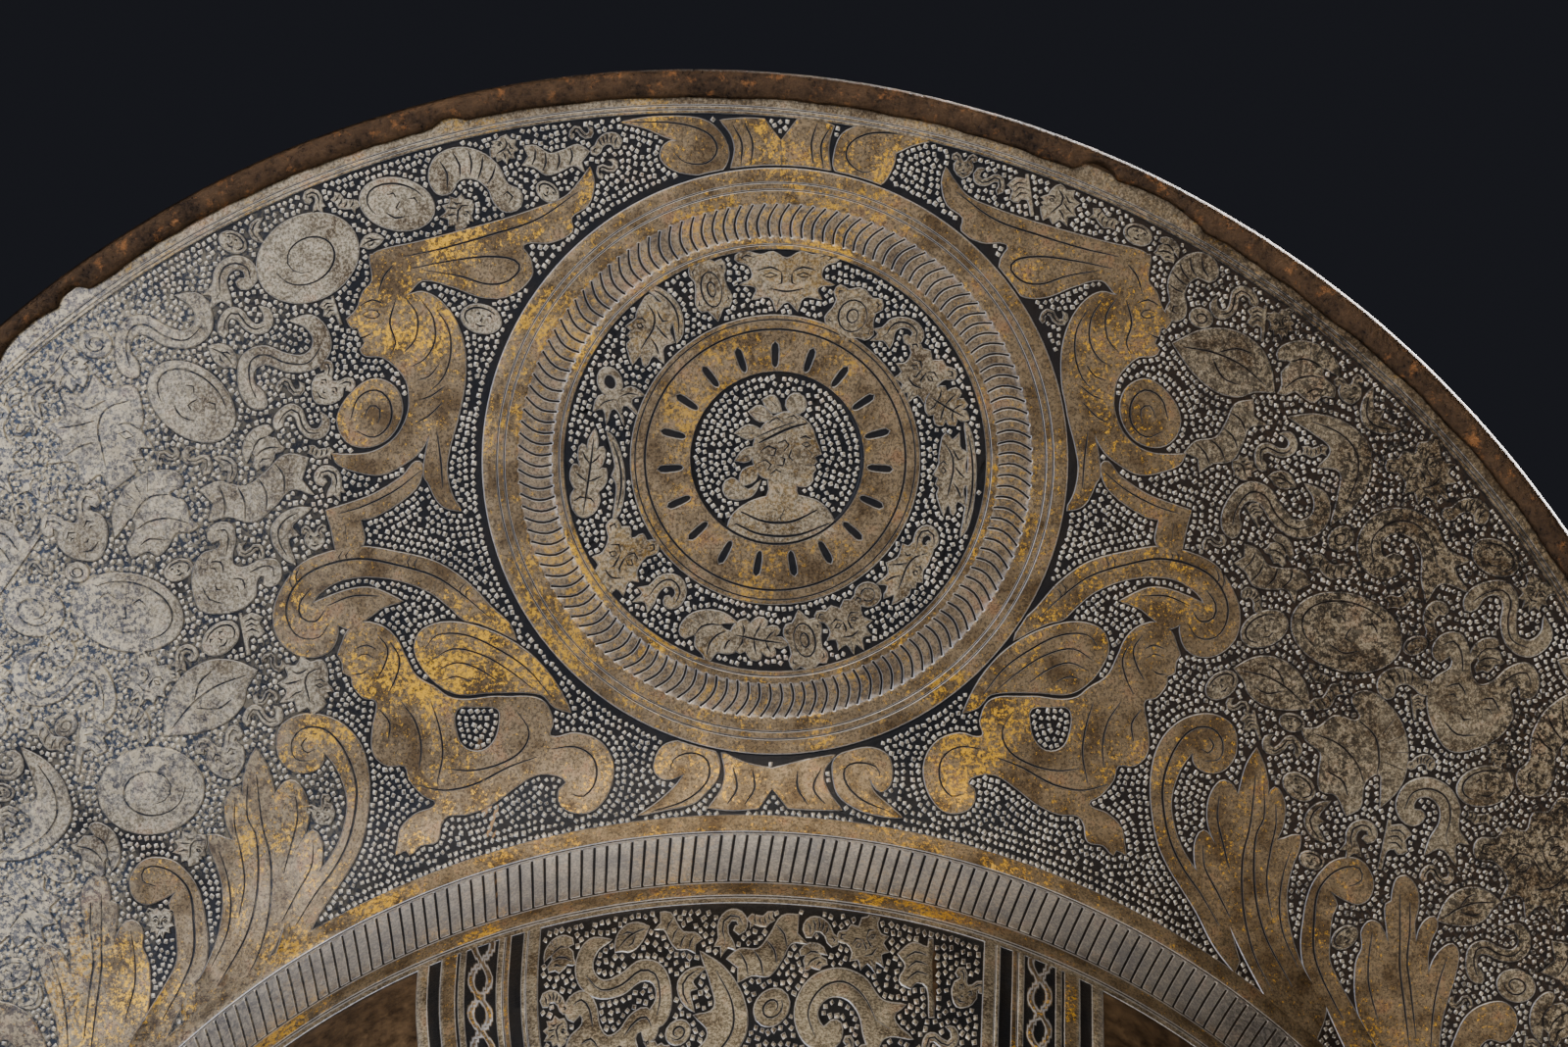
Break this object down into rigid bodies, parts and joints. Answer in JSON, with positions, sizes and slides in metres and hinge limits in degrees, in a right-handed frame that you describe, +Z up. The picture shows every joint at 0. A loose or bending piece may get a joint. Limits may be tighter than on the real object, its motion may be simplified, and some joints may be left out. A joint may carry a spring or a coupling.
{
  "type": "comb morion helmet",
  "caption": "Open steel foot-soldier's helmet with a tall crescent comb, a boat-shaped brim peaked front and back, a folded comb seam and a row of lining rivets.",
  "frame": {"origin": "on the surface that the helmet rests on, below the middle of the skull", "axes": "+X to the front of the helmet, +Y to the wearer's left, +Z up towards the comb"},
  "size_m": [0.3486, 0.2438, 0.2959],
  "materials": {
    "etched_steel": "etched and blackened ground, raised figures browned with worn fire gilding",
    "rivet_brass": "aged brass"
  },
  "bodies": {
    "root": {"left_half": "etched_steel", "right_half": "etched_steel", "left_rivet_1": "rivet_brass", "left_rivet_2": "rivet_brass", "left_rivet_3": "rivet_brass", "left_rivet_4": "rivet_brass", "left_rivet_5": "rivet_brass", "left_rivet_6": "rivet_brass", "left_rivet_7": "rivet_brass", "left_rivet_8": "rivet_brass", "right_rivet_1": "rivet_brass", "right_rivet_2": "rivet_brass", "right_rivet_3": "rivet_brass", "right_rivet_4": "rivet_brass", "right_rivet_5": "rivet_brass", "right_rivet_6": "rivet_brass", "right_rivet_7": "rivet_brass", "right_rivet_8": "rivet_brass"}
  },
  "joints": []
}
